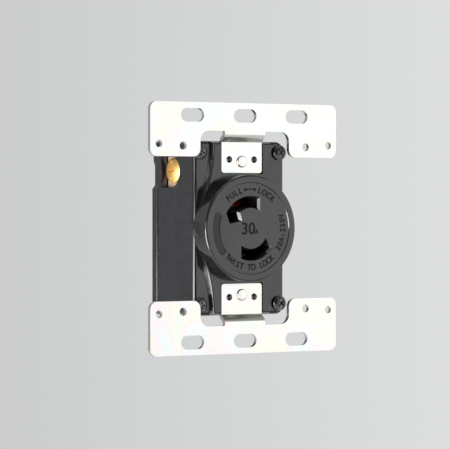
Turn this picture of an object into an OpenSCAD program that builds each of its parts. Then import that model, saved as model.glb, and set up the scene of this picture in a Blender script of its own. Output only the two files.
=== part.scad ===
// Flush-mounting two-pole twist-lock receptacle on two mounting yokes.
// Millimetres. X to the right, Y into the wall, Z up. The origin is on the yokes' back face, which rests on
// the wall box, at the centre of the pattern of mounting slots and on the axis of the round face.

/* [Yokes] */
// Width of each yoke
yoke_w = 82.2; // [80:0.1:84]
// Height of the two yokes together, edge to edge
yoke_span = 93; // [92:0.1:94]
// Height of each yoke at its legs
yoke_h = 20; // [19.5:0.1:20.5]
// Thickness of the steel plate
yoke_t = 1.6; // [1.4:0.1:1.8]
// Spacing of the mounting slots across the two gangs
slot_pitch_x = 46; // [46:0.1:46.4]
// Spacing of the mounting slots up the box
slot_pitch_z = 83.5; // [83.3:0.1:83.7]
// Length of a mounting slot
slot_l = 10; // [9:0.1:10.6]
// Width of a mounting slot
slot_w = 5; // [4.6:0.1:5.2]
// Spacing of the outer small holes across
outer_hole_x = 74.8; // [74.5:0.1:75]
// Spacing of the outer small holes up the box
outer_hole_z = 62.2; // [62:0.1:62.6]
// Diameter of the outer small holes
outer_hole_d = 2.8; // [2.6:0.1:3.2]
// Spacing of the inner small holes across
inner_hole_x = 54.2; // [54:0.1:54.6]
// Spacing of the inner small holes up the box
inner_hole_z = 60.8; // [60.6:0.1:61.2]
// Diameter of the inner small holes
inner_hole_d = 3; // [2.6:0.1:3.4]
// Width of the tongue that holds the body
tongue_w = 17.8; // [17:0.1:18]
// Set-back of the tongue behind the plate
tongue_step = 2.4; // [2.2:0.1:2.6]

/* [Body] */
// Width of the body
body_w = 40; // [40:0.1:40.4]
// Height of the body
body_h = 64.8; // [64.6:0.1:65.2]
// Depth at which the body's front surface lies
body_front = 2.4; // [2.4:0.1:2.6]
// Depth of the seam between body and rear cover
seam_y = 28; // [27.8:0.1:28.4]
// Rear surface of the rear cover
rear_y = 31.7; // [31.4:0.1:32.2]
// Radius of the round boss
boss_r = 20; // [19.8:0.1:20]
// Depth of the front of the boss's rim
rim_y = -5.6; // [-5.8:0.1:-5.4]
// Radius of the sunk disc in the face
disc_r = 16.9; // [16.7:0.1:17.1]
// How far the disc is sunk
disc_sink = 0.4; // [0.3:0.1:0.5]
// Half width of the waisted pad at its ends
pad_half_w = 12.6; // [12.4:0.1:12.8]
// Radius of the pad's waisted sides
pad_side_r = 49; // [48:0.5:50]

/* [Blade slots] */
// Inner radius of the blade slots
blade_r_in = 7.7; // [7.6:0.05:7.8]
// Outer radius of the blade slots
blade_r_out = 11.9; // [11.8:0.05:12]
// Distance of the locked end of each slot from the centre line
blade_end_x = 4; // [3.9:0.05:4.05]

/* [Terminals] */
// Depth of the terminal screws' axes
terminal_y = 18.9; // [18.8:0.1:19]
// Height of the terminal screws' axes from the centre
terminal_z = 21.5; // [21.4:0.1:21.6]
// Radius of the round part of the terminal pocket
pocket_r = 6.3; // [6.2:0.1:6.4]
// Distance of the terminal plate's outer surface from the centre line
plate_x = 17.2; // [17.1:0.05:17.3]
// Thickness of contacts and terminal plates
strip_t = 1.2; // [1.1:0.05:1.25]
// Diameter of the terminal screw's head
screw_head_d = 9.6; // [9.2:0.1:9.8]
// Radius of the tapped hole in the terminal plate
tap_r = 2.5; // [2.5:0.05:2.5]

/* [Hidden] */
$fn = 64;
steel_color = "#dfe2df";
black_color = "#26272a";
brass_color = "#d9a441";
copper_color = "#b5673a";
over = 0.1;                                   // how far a cut runs past the surface that it opens

yoke_top_z = yoke_span / 2;
yoke_foot_z = yoke_top_z - yoke_h;
notch_x = 19.6;                               // inner edge of each leg
notch_z = 36;                                 // top of the notch beside the tongue
notch_r = 3.5;
leg_outer_r = 2.75;
leg_inner_r = 3;
tongue_end_z = 20.6;
tongue_corner_r = 1;
joggle_top_z = 36.2;                          // where the plate starts to step back
joggle_low_z = 32.9;                          // where the tongue is flat again
joggle_lag = 0.6;                             // the back of the sheet bends this much higher than its front
tongue_y = tongue_step - yoke_t;              // front of the tongue
rivet_z = 24.8;
rivet_r = 1.2;
pip_x = 5.5;                                  // moulded pips that locate the tongue
pip_z = 25.6;
pip_r = 1.1;
pip_y = 0.3;

body_corner_r = 3;
pad_y = 0.5;                                  // front of the pad
pad_end_z = 31;                               // where the pad's sides run straight up
tongue_bed_x = 9.2;                           // half width of the sunk bed under the tongue
tongue_bed_z = 20.3;
disc_y = rim_y + disc_sink;
face_back_y = disc_y + 2;                     // rear of the face wall
blank_sink = 0.25;                            // depth of the plain curved field beside the left rim
chamber_r = 16.5;                             // round space behind the face
chamber_y = 11.6;                             // where it opens into the rear space
rear_x = 15.9;                                // half width of the rear space
rear_z = 24.4;
washer_bed_y = 8;                             // floor of the pocket behind each yoke rivet
case_x = 17.5;                                // case screws
case_z = 28.3;
case_r = 1.25;
case_head_r = 2.8;
case_head_h = 1.8;
case_crown_r = 5.2;                           // crown of the case screws' heads
case_nut_r = 2.6;
case_nut_y = 29.4;
flange_out = 0.5;                             // how far the rear cover stands out of the body
fit_gap = 0.05;

web_y = chamber_y - over;                     // front of the contact's rear web
leaf_y = 6;                                   // front of the contact's leaves
leaf_t = 0.8;
leaf_in_r = 8.1;                              // inner and outer surface of the jaw
leaf_out_r = 11.5;
leaf_from = 76;                               // angles that the jaw's leaves span
leaf_to = 118;
stop_from = 73;                               // end plate that joins the two leaves
web_rivet_r = 0.8;
web_rivet_mid_r = (leaf_in_r + leaf_out_r) / 2;
web_rivet_angles = [84, 107];
bracket_y = web_y + strip_t;                  // front of the terminal plate's flange
plate_low_z = 14.9;
plate_high_z = 26.6;
plate_back_y = 25;
pocket_back_y = 25.6;
washer_t = 0.8;
washer_r = 4.7;
head_base_x = 18.4;
head_rim_h = 0.5;
head_h = 1.7;
shank_l = 9;
shank_r = tap_r - fit_gap;

// Everything between two depths whose outline in (x, z) is given.
module prism_y(front, back) {
    translate([0, back, 0]) rotate([90, 0, 0]) linear_extrude(back - front) children();
}

// Round bar along Y.
module rod_y(x, z, r, front, back) {
    translate([x, back, z]) rotate([90, 0, 0]) cylinder(r = r, h = back - front);
}

// Round bar along X.
module rod_x(y, z, r, low, high) {
    translate([low, y, z]) rotate([0, 90, 0]) cylinder(r = r, h = high - low);
}

// Box given by two corners.
module block(low, high) {
    translate(low) cube(high - low);
}

// The same thing half a turn round the face's axis.
module opposite() {
    rotate([0, 180, 0]) children();
}

// The sliver between the square corner (x, z) and a round of radius r, whose centre lies the way that in_x and
// in_z point.
module corner_sliver(x, z, r, in_x, in_z) {
    centre = [x + in_x * r, z + in_z * r];
    difference() {
        translate([min(x - in_x * over, centre[0]), min(z - in_z * over, centre[1])]) square(r + over);
        translate(centre) circle(r);
    }
}

module rounded_plate_outline(half_w, half_h, r) {
    difference() {
        square([2 * half_w, 2 * half_h], center = true);
        for (sx = [-1, 1], sz = [-1, 1]) corner_sliver(sx * half_w, sz * half_h, r, -sx, -sz);
    }
}

// Part of a ring between two radii and two angles.
module ring_sector(r_in, r_out, from, to) {
    reach = 2 * r_out;
    intersection() {
        difference() {
            circle(r_out);
            circle(r_in);
        }
        polygon([[0, 0], for (a = [from, (from + to) / 2, to]) reach * [cos(a), sin(a)]]);
    }
}

module yoke_outline() {
    difference() {
        union() {
            translate([-yoke_w / 2, notch_z]) square([yoke_w, yoke_top_z - notch_z]);
            for (s = [-1, 1]) {
                translate([s > 0 ? notch_x : -yoke_w / 2, yoke_foot_z])
                    square([yoke_w / 2 - notch_x, yoke_h]);
                corner_sliver(s * notch_x, notch_z, notch_r, -s, -1);
            }
        }
        for (s = [-1, 1]) {
            corner_sliver(s * yoke_w / 2, yoke_top_z, leg_outer_r, -s, -1);
            corner_sliver(s * yoke_w / 2, yoke_foot_z, leg_outer_r, -s, 1);
            corner_sliver(s * notch_x, yoke_foot_z, leg_inner_r, s, 1);
        }
    }
}

module mounting_slot(x) {
    straight = (slot_l - slot_w) / 2;
    for (s = [-1, 1]) rod_y(x + s * straight, slot_pitch_z / 2, slot_w / 2, -yoke_t - over, over);
    block([x - straight, -yoke_t - over, slot_pitch_z / 2 - slot_w / 2],
          [x + straight, over, slot_pitch_z / 2 + slot_w / 2]);
}

// The tongue and its S bend, drawn as one side view pulled across.
module tongue() {
    difference() {
        translate([-tongue_w / 2, 0, 0]) rotate([90, 0, 90]) linear_extrude(tongue_w)
            polygon([[-yoke_t, notch_z + 1], [-yoke_t, joggle_top_z], [tongue_y, joggle_low_z],
                     [tongue_y, tongue_end_z], [tongue_step, tongue_end_z],
                     [tongue_step, joggle_low_z + joggle_lag], [0, joggle_top_z + joggle_lag],
                     [0, notch_z + 1]]);
        for (s = [-1, 1]) prism_y(tongue_y - over, tongue_step + over)
            corner_sliver(s * tongue_w / 2, tongue_end_z, tongue_corner_r, -s, 1);
    }
}

module upper_yoke() {
    color(steel_color) difference() {
        union() {
            difference() {
                prism_y(-yoke_t, 0) yoke_outline();
                block([-tongue_w / 2, -yoke_t - over, notch_z - over], [tongue_w / 2, over, notch_z + 1]);
            }
            tongue();
        }
        for (column = [-1, 0, 1]) mounting_slot(column * slot_pitch_x / 2);
        for (s = [-1, 1]) {
            rod_y(s * outer_hole_x / 2, outer_hole_z / 2, outer_hole_d / 2, -yoke_t - over, over);
            rod_y(s * inner_hole_x / 2, inner_hole_z / 2, inner_hole_d / 2, -yoke_t - over, over);
            rod_y(s * pip_x, pip_z, pip_r + fit_gap, tongue_y - over, tongue_step + over);
        }
        rod_y(0, rivet_z, rivet_r + fit_gap, tongue_y - over, tongue_step + over);
    }
}

// Rivet with a domed head in front of the tongue and a clinched end behind its washer.
module upper_yoke_rivet() {
    head_r = 2.25;
    head_h = 1.1;
    ball_r = (head_r * head_r + head_h * head_h) / (2 * head_h);
    washer_back_y = washer_bed_y + 0.8;
    color(steel_color) union() {
        intersection() {
            translate([0, tongue_y - head_h + ball_r, rivet_z]) sphere(ball_r);
            rod_y(0, rivet_z, head_r + 1, tongue_y - head_h - 1, tongue_y);
        }
        rod_y(0, rivet_z, rivet_r, tongue_y - over, washer_back_y);
        rod_y(0, rivet_z, rivet_r + 0.5, washer_back_y, washer_back_y + 0.9);
    }
}

module upper_rivet_washer() {
    color(steel_color) difference() {
        rod_y(0, rivet_z, 2.7, washer_bed_y, washer_bed_y + 0.8);
        rod_y(0, rivet_z, rivet_r + fit_gap, washer_bed_y - over, washer_bed_y + 1);
    }
}

// Both ends of the waisted pad in the (x, z) plane; the round boss covers its middle.
module pad_outline() {
    end_z = body_h / 2 - 0.8;
    difference() {
        square([2 * boss_r - 6, 2 * end_z], center = true);
        for (sx = [-1, 1], sz = [-1, 1])
            translate([sx * (pad_half_w + pad_side_r), sz * pad_end_z]) circle(pad_side_r, $fn = 256);
    }
}

// Upper blade slot with the inward notch for the hooked blade, grown by margin.
module upper_slot_outline(margin) {
    hook = [[-10.7, 6.2], [-9.1, 1.8], [-4.2, 3], [-5.2, 6.2]];
    grow = [[-1, 1], [-1, -1], [1, -1], [1, 1]];
    intersection() {
        difference() {
            circle(blade_r_out + margin);
            circle(blade_r_in - margin);
        }
        polygon([[blade_end_x + margin, 5], [blade_end_x + margin, 14], [-14, 14], [-14, 6], [-5, 6]]);
    }
    intersection() {
        circle(blade_r_out + margin);
        polygon([for (i = [0:3]) hook[i] + margin * grow[i]]);
    }
}

// Lower blade slot, grown by margin: upright at its locked end, slanted at its entry end.
module lower_slot_outline(margin) {
    intersection() {
        difference() {
            circle(blade_r_out + margin);
            circle(blade_r_in - margin);
        }
        polygon([[-blade_end_x - margin, -4], [-blade_end_x - margin, -14], [13.2 + margin, -14],
                 [6.7 + margin, -2.4 + margin]]);
    }
}

// Space that one terminal takes out of the body: side pocket, slot for the plate and room for its flange.
module terminal_space() {
    intersection() {
        union() {
            rod_x(terminal_y, terminal_z, pocket_r, -body_w / 2 - over, -plate_x + over);
            block([-body_w / 2 - over, terminal_y, terminal_z - pocket_r],
                  [-plate_x + over, pocket_back_y, plate_high_z]);
        }
        block([-body_w / 2 - 1, 0, 0], [0, pocket_back_y, plate_high_z]);
    }
    block([-plate_x - fit_gap, bracket_y - over, plate_low_z - over],
          [-rear_x + over, seam_y + over, plate_high_z + over]);
    block([-rear_x, bracket_y - over, plate_low_z - over], [-9.5, seam_y + over, plate_high_z + over]);
}

module body() {
    color(black_color) difference() {
        union() {
            prism_y(body_front, seam_y) rounded_plate_outline(body_w / 2, body_h / 2, body_corner_r);
            difference() {
                prism_y(pad_y, body_front + over) pad_outline();
                for (s = [0, 1]) mirror([0, 0, s])
                    block([-tongue_bed_x, pad_y - 1, tongue_bed_z], [tongue_bed_x, body_front, body_h]);
            }
            rod_y(0, 0, boss_r, rim_y, body_front + over);
            for (sx = [-1, 1], sz = [-1, 1]) rod_y(sx * pip_x, sz * pip_z, pip_r, pip_y, body_front + over);
        }
        rod_y(0, 0, disc_r, rim_y - over, disc_y);
        prism_y(disc_y - over, disc_y + blank_sink) ring_sector(13.6, 16.1, 163, 214);
        prism_y(rim_y - over, face_back_y + over) upper_slot_outline(0);
        prism_y(rim_y - over, face_back_y + over) lower_slot_outline(0);
        rod_y(0, 0, chamber_r, face_back_y, chamber_y + over);
        block([-rear_x, chamber_y, -rear_z], [rear_x, seam_y + over, rear_z]);
        terminal_space();
        opposite() terminal_space();
        for (sz = [-1, 1]) {
            rod_y(0, sz * rivet_z, rivet_r + fit_gap, body_front - over, washer_bed_y + over);
            rod_y(0, sz * rivet_z, 3, washer_bed_y, seam_y + over);
            for (sx = [-1, 1])
                rod_y(sx * case_x, sz * case_z, case_r + fit_gap, body_front - over, seam_y + over);
        }
    }
}

module rear_cover() {
    half_w = body_w / 2 + flange_out;
    lip_x = rear_x - 0.3;
    lip_z = plate_low_z - 0.5;
    color(black_color) difference() {
        union() {
            prism_y(seam_y, rear_y)
                rounded_plate_outline(half_w, body_h / 2 + flange_out, body_corner_r + flange_out);
            difference() {
                block([-lip_x, seam_y - 2, -lip_z], [lip_x, seam_y + over, lip_z]);
                block([-lip_x + 1.5, seam_y - 3, -lip_z + 1.5], [lip_x - 1.5, seam_y, lip_z - 1.5]);
            }
            for (s = [-1, 1]) rod_y(-s * 7.2, s * 11.6, 1.8, bracket_y + strip_t + fit_gap, seam_y + over);
        }
        for (turn = [0, 180]) rotate([0, turn, 0]) prism_y(seam_y - over, rear_y + over)
            polygon([[-half_w - 1, 14.4], [-half_w, 14.4], [-19.1, 16.2], [-19.1, 23.4], [-19.7, 25.2],
                     [-19.7, 28], [-half_w, 28.8], [-half_w - 1, 28.8]]);
        for (sx = [-1, 1], sz = [-1, 1]) {
            rod_y(sx * case_x, sz * case_z, case_r + fit_gap, seam_y - over, rear_y + over);
            translate([sx * case_x, rear_y + over, sz * case_z]) rotate([90, 0, 0])
                cylinder(r = case_nut_r + fit_gap, h = rear_y + over - case_nut_y, $fn = 6);
        }
        block([-13, rear_y - 0.6, -24], [13, rear_y + over, 24]);
    }
}

// One pan head with its shank; the recess is a cross.
module case_screw() {
    top_y = body_front - case_head_h;
    difference() {
        union() {
            intersection() {
                rod_y(0, 0, case_head_r, top_y, body_front);
                translate([0, top_y + case_crown_r, 0]) sphere(case_crown_r);
            }
            rod_y(0, 0, case_r, body_front - over, rear_y - 0.4);
        }
        for (turn = [0, 90]) rotate([0, turn, 0]) block([-1.4, top_y - over, -0.3], [1.4, top_y + 1, 0.3]);
    }
}

module case_screws() {
    color(black_color) for (sx = [-1, 1], sz = [-1, 1]) translate([sx * case_x, 0, sz * case_z]) case_screw();
}

module case_nuts() {
    color(steel_color) for (sx = [-1, 1], sz = [-1, 1]) translate([sx * case_x, case_nut_y + 2, sz * case_z])
        rotate([90, 0, 0]) difference() {
            cylinder(r = case_nut_r, h = 2, $fn = 6);
            translate([0, 0, -over]) cylinder(r = case_r + fit_gap / 2, h = 2 + 2 * over);
        }
}

module contact_block() {
    chamber_margin = 0.7;
    color(black_color) difference() {
        rod_y(0, 0, chamber_r - 0.1, face_back_y + over, web_y);
        prism_y(face_back_y, web_y + over) upper_slot_outline(chamber_margin);
        prism_y(face_back_y, web_y + over) lower_slot_outline(chamber_margin);
    }
}

// The two rivet places in a contact's web, as bars.
module web_rivet_bars(r, front, back) {
    for (a = web_rivet_angles) rod_y(web_rivet_mid_r * cos(a), web_rivet_mid_r * sin(a), r, front, back);
}

// Jaw that is a U seen from the front, open where the blade turns in, on a flat rear web.
module upper_contact() {
    color(copper_color) difference() {
        union() {
            prism_y(leaf_y, web_y + over) {
                ring_sector(leaf_in_r, leaf_in_r + leaf_t, stop_from, leaf_to);
                ring_sector(leaf_out_r - leaf_t, leaf_out_r, stop_from, leaf_to);
                ring_sector(leaf_in_r, leaf_out_r, stop_from, leaf_from);
            }
            prism_y(web_y, bracket_y) ring_sector(leaf_in_r, leaf_out_r, stop_from, leaf_to);
        }
        web_rivet_bars(web_rivet_r + fit_gap, web_y - over, bracket_y + over);
    }
}

module upper_contact_spring() {
    spring_t = 0.6;
    spring_gap = 0.05;
    outer = leaf_out_r + spring_gap;
    inner = leaf_in_r - spring_gap;
    color(steel_color) prism_y(leaf_y + 1.5, web_y - 1) {
        ring_sector(inner - spring_t, inner, stop_from - 5, leaf_to - 8);
        ring_sector(outer, outer + spring_t, stop_from - 5, leaf_to - 8);
        ring_sector(inner - spring_t, outer + spring_t, stop_from - 5, stop_from - 1.5);
    }
}

module upper_contact_rivets() {
    color(brass_color) union() {
        web_rivet_bars(web_rivet_r, web_y, bracket_y + strip_t + over);
        web_rivet_bars(1.6, bracket_y + strip_t, bracket_y + strip_t + 0.8);
    }
}

// Bracket: a flange on the contact's web, bent round into the tapped plate behind the side pocket.
module left_terminal_plate() {
    color(brass_color) difference() {
        union() {
            prism_y(bracket_y, bracket_y + strip_t)
                polygon([[3.4, 7.7], [3.4, 11.9], [-5.5, 13.2], [-9.8, 18], [-9.8, plate_high_z],
                         [-plate_x, plate_high_z], [-plate_x, plate_low_z], [-rear_x, plate_low_z],
                         [-13, plate_low_z - 1], [-6.5, 7.7]]);
            block([-plate_x, bracket_y, plate_low_z], [-plate_x + strip_t, plate_back_y, plate_high_z]);
        }
        web_rivet_bars(web_rivet_r + fit_gap, bracket_y - over, bracket_y + strip_t + over);
        rod_x(terminal_y, terminal_z, tap_r, -plate_x - over, -plate_x + strip_t + over);
    }
}

module left_clamp_washer() {
    color(brass_color) difference() {
        rod_x(terminal_y, terminal_z, washer_r, -head_base_x, -head_base_x + washer_t);
        rod_x(terminal_y, terminal_z, shank_r + fit_gap, -head_base_x - over, -head_base_x + washer_t + over);
    }
}

// Screw with a domed head and a recess that takes a flat or a cross driver.
module left_terminal_screw() {
    head_r = screw_head_d / 2;
    dome_h = head_h - head_rim_h;
    ball_r = (head_r * head_r + dome_h * dome_h) / (2 * dome_h);
    top_x = -head_base_x - head_h;
    color(brass_color) difference() {
        union() {
            rod_x(terminal_y, terminal_z, head_r, -head_base_x - head_rim_h, -head_base_x);
            intersection() {
                rod_x(terminal_y, terminal_z, head_r, top_x, -head_base_x - head_rim_h + over);
                translate([top_x + ball_r, terminal_y, terminal_z]) sphere(ball_r);
            }
            rod_x(terminal_y, terminal_z, shank_r, -head_base_x - over, -head_base_x + shank_l);
        }
        block([top_x - over, terminal_y - 0.5, terminal_z - 3.8],
              [top_x + 1.1, terminal_y + 0.5, terminal_z + 3.8]);
        block([top_x - over, terminal_y - 2.2, terminal_z - 0.5],
              [top_x + 1.3, terminal_y + 2.2, terminal_z + 0.5]);
    }
}

upper_yoke();
opposite() upper_yoke();  // lower_yoke
upper_yoke_rivet();
opposite() upper_yoke_rivet();  // lower_yoke_rivet
upper_rivet_washer();
opposite() upper_rivet_washer();  // lower_rivet_washer
body();
rear_cover();
case_screws();
case_nuts();
contact_block();
upper_contact();
opposite() upper_contact();  // lower_contact
upper_contact_spring();
opposite() upper_contact_spring();  // lower_contact_spring
upper_contact_rivets();
opposite() upper_contact_rivets();  // lower_contact_rivets
left_terminal_plate();
opposite() left_terminal_plate();  // right_terminal_plate
left_clamp_washer();
opposite() left_clamp_washer();  // right_clamp_washer
left_terminal_screw();
opposite() left_terminal_screw();  // right_terminal_screw
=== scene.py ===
"""Flush twist-lock receptacle on two mounting yokes: the looks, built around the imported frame.

Every sub-assembly is a class that holds its sizes in millimetres and makes its own pieces. X runs to the right, Y into
the wall and Z up, with the origin on the yokes' back faces and on the axis of the round face.
"""

from __future__ import annotations

import logging
import math
from collections.abc import Callable, Iterable, Mapping
from dataclasses import dataclass
from enum import Enum
from typing import Any

import bmesh
import bpy
from mathutils import Matrix, Vector

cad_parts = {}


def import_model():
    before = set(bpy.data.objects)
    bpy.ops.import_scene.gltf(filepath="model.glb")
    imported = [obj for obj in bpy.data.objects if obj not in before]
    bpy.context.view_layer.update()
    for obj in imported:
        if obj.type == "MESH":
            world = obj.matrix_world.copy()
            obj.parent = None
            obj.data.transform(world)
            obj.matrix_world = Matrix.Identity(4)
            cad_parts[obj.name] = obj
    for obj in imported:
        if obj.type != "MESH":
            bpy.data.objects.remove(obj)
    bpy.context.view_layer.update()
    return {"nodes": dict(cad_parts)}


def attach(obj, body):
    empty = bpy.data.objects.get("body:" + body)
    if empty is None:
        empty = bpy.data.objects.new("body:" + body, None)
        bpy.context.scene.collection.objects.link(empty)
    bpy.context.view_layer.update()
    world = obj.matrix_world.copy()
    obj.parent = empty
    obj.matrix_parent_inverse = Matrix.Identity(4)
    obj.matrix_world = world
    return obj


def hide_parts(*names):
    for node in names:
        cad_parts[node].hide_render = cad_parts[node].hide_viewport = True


log = logging.getLogger("receptacle")

MM = 0.001  # one millimetre in metres
NEAR = 0.01  # millimetres within which a corner counts as lying on a plane
WELD = 1e-4  # millimetres within which two corners are one
SHARP = math.radians(28)  # two faces that meet at more than this make an edge that can be rounded
CREASE = math.radians(40)  # and at more than this, one that is shaded as a crease
ROOT = "root"

Point = tuple[float, float]
Corner = tuple[float, float, float]
Mesh = bmesh.types.BMesh
Edge = bmesh.types.BMEdge


class Join(Enum):
    """How two solids are combined."""

    ADD = "UNION"
    CUT = "DIFFERENCE"


class Level(Enum):
    """Upper and lower half of the object; the lower one is the upper one turned half round the face's axis."""

    UPPER = 0.0
    LOWER = math.pi


class Side(Enum):
    """Side of a terminal; the right one is the left one turned half round the face's axis."""

    LEFT = 0.0
    RIGHT = math.pi


# ---------------------------------------------------------------------------------------- shapes


def arc(centre: Point, radius: float, start: float, end: float, steps: int) -> list[Point]:
    """Points along an arc, both ends included.

    Args:
        centre: The arc's centre.
        radius: Its radius.
        start: First angle in degrees.
        end: Last angle in degrees.
        steps: Number of chords.

    Returns:
        steps + 1 points.
    """
    angles = [math.radians(start + (end - start) * i / steps) for i in range(steps + 1)]
    return [(centre[0] + radius * math.cos(a), centre[1] + radius * math.sin(a)) for a in angles]


def rounded(corners: Iterable[Corner], chord: float = 9.0) -> list[Point]:
    """Outline whose corners are rounded by arcs that touch both sides.

    Args:
        corners: (x, z, radius) of each corner in order.
        chord: Degrees that one chord of an arc spans.

    Returns:
        The outline's points in the same order.
    """
    knots = [(Vector((x, z)), r) for x, z, r in corners]
    points: list[Point] = []
    for i, (knot, radius) in enumerate(knots):
        into = (knots[i - 1][0] - knot).normalized()
        out = (knots[(i + 1) % len(knots)][0] - knot).normalized()
        if radius <= 0:
            points.append((knot.x, knot.y))
            continue
        half = into.angle(out) / 2
        centre = knot + (into + out).normalized() * (radius / math.sin(half))
        first = knot + into * (radius / math.tan(half)) - centre
        turn = math.pi - 2 * half
        sense = 1 if into.cross(out) < 0 else -1
        steps = max(2, round(math.degrees(turn) / chord))
        for k in range(steps + 1):
            ray = first @ Matrix.Rotation(-sense * turn * k / steps, 2)
            points.append((centre.x + ray.x, centre.y + ray.y))
    return points


def prism(outline: Iterable[Point], front: float, back: float) -> Mesh:
    """Solid between two depths with the given (x, z) outline.

    Args:
        outline: The outline's points.
        front: Depth of its front face.
        back: Depth of its rear face.

    Returns:
        The closed shape.
    """
    bm = bmesh.new()
    face = bm.faces.new([bm.verts.new((x, back, z)) for x, z in outline])
    swept = bmesh.ops.extrude_face_region(bm, geom=[face])
    verts = [v for v in swept["geom"] if isinstance(v, bmesh.types.BMVert)]
    bmesh.ops.translate(bm, verts=verts, vec=(0, front - back, 0))
    bmesh.ops.recalc_face_normals(bm, faces=bm.faces)
    return bm


def grown(outline: list[Point], by: float, more_right: float = 0.0) -> list[Point]:
    """Outline pushed outwards by the same distance all round, or further where it faces right.

    Args:
        outline: The outline's points, either way round.
        by: How far it is pushed; negative pulls it in.
        more_right: How much further its right-hand walls are pushed.

    Returns:
        The new outline, point for point.
    """
    knots = [Vector(p) for p in outline]
    area = sum(a.cross(b) for a, b in zip(knots, knots[1:] + knots[:1]))
    way = 1 if area > 0 else -1
    points = []
    for i, knot in enumerate(knots):
        before = (knot - knots[i - 1]).normalized()
        after = (knots[(i + 1) % len(knots)] - knot).normalized()
        out = Vector((before.y + after.y, -before.x - after.x)).normalized() * way
        stretch = max(0.4, math.sqrt(max(0.0, (1 + before.dot(after)) / 2)))
        points.append(tuple(knot + out * ((by + more_right * max(0.0, out.x)) / stretch)))
    return points


def lofted(sections: list[tuple[float, list[Point]]]) -> Mesh:
    """Solid through outlines at different depths.

    Args:
        sections: (y, outline) from front to back, all with the same number of points.

    Returns:
        The closed solid.
    """
    bm = bmesh.new()
    rings = [[bm.verts.new((x, y, z)) for x, z in outline] for y, outline in sections]
    loops = [[bm.edges.new(pair) for pair in zip(ring, ring[1:] + ring[:1])] for ring in rings]
    for first, second in zip(loops, loops[1:]):
        bmesh.ops.bridge_loops(bm, edges=first + second)
    bm.faces.new(rings[0])
    bm.faces.new(rings[-1])
    bmesh.ops.recalc_face_normals(bm, faces=bm.faces)
    return bm


def box_of(low: tuple[float, float, float], high: tuple[float, float, float]) -> Mesh:
    """Box between two corners.

    Args:
        low: Its lowest corner.
        high: Its highest corner.

    Returns:
        The box.
    """
    bm = bmesh.new()
    bmesh.ops.create_cube(bm, size=1)
    span = [h - l for l, h in zip(low, high)]
    bmesh.ops.scale(bm, verts=bm.verts, vec=span)
    bmesh.ops.translate(bm, verts=bm.verts, vec=[l + s / 2 for l, s in zip(low, span)])
    return bm


def turned(profile: Iterable[Point], steps: int = 96) -> Mesh:
    """Shape turned about the Y axis.

    Args:
        profile: (radius, y) points from end to end; a closed solid starts and ends at radius 0.
        steps: Number of facets round the axis.

    Returns:
        The turned shape.
    """
    bm = bmesh.new()
    verts = [bm.verts.new((radius, y, 0)) for radius, y in profile]
    edges = [bm.edges.new(pair) for pair in zip(verts, verts[1:])]
    bmesh.ops.spin(bm, geom=verts + edges, cent=(0, 0, 0), axis=(0, 1, 0), angle=math.tau, steps=steps,
                   use_merge=True, use_duplicate=False)
    bmesh.ops.remove_doubles(bm, verts=bm.verts, dist=WELD)
    bmesh.ops.recalc_face_normals(bm, faces=bm.faces)
    return bm


def bar(radius: float, front: float, back: float, steps: int = 48) -> Mesh:
    """Round bar on the Y axis between two depths."""
    return turned([(0, front), (radius, front), (radius, back), (0, back)], steps)


def crown_of(radius: float, rise: float, top: float, steps: int) -> list[Point]:
    """Profile of a shallow spherical crown, for turning.

    Args:
        radius: Its radius at the rim.
        rise: How high the middle stands above the rim.
        top: Depth of its middle.
        steps: Number of chords from the middle to the rim.

    Returns:
        (radius, y) points from the middle outwards, without the rim's own.
    """
    ball = (radius ** 2 + rise ** 2) / (2 * rise)
    turns = [math.asin(radius / ball) * i / steps for i in range(steps)]
    return [(ball * math.sin(turn), top + ball * (1 - math.cos(turn))) for turn in turns]


def moved(bm: Mesh, x: float = 0.0, y: float = 0.0, z: float = 0.0) -> Mesh:
    """The same shape, shifted."""
    bmesh.ops.translate(bm, verts=bm.verts, vec=(x, y, z))
    return bm


def spun(bm: Mesh, angle: float, axis: str = "Y") -> Mesh:
    """The same shape, turned about an axis through the origin by an angle in radians."""
    bmesh.ops.rotate(bm, verts=bm.verts, cent=(0, 0, 0), matrix=Matrix.Rotation(angle, 3, axis))
    return bm


def gathered(parts: Iterable[Mesh]) -> Mesh:
    """Separate shapes kept side by side in one mesh.

    Args:
        parts: The shapes, used up.

    Returns:
        One mesh with all of them.
    """
    whole = bmesh.new()
    for part in parts:
        carrier = bpy.data.meshes.new("carrier")
        part.to_mesh(carrier)
        part.free()
        whole.from_mesh(carrier)
        bpy.data.meshes.remove(carrier)
    return whole


def combined(base: Mesh, tool: Mesh, how: Join) -> Mesh:
    """One shape made of two solids.

    Args:
        base: The solid that is kept.
        tool: The solid that is added or cut away.
        how: Whether it is added or cut.

    Returns:
        The result; both inputs are used up.
    """
    holders = []
    for name, part in (("base", base), ("tool", tool)):
        mesh = bpy.data.meshes.new(name)
        part.to_mesh(mesh)
        part.free()
        holder = bpy.data.objects.new(name, mesh)
        bpy.context.scene.collection.objects.link(holder)
        holders.append(holder)
    modifier = holders[0].modifiers.new("join", "BOOLEAN")
    modifier.operation = how.value
    modifier.solver = "EXACT"
    modifier.object = holders[1]
    shown = holders[0].evaluated_get(bpy.context.evaluated_depsgraph_get())
    result = bmesh.new()
    result.from_mesh(shown.to_mesh())
    shown.to_mesh_clear()
    for holder in holders:
        mesh = holder.data
        bpy.data.objects.remove(holder)
        bpy.data.meshes.remove(mesh)
    bmesh.ops.remove_doubles(result, verts=result.verts, dist=WELD)
    bmesh.ops.dissolve_degenerate(result, dist=WELD, edges=result.edges)
    return result


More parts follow.
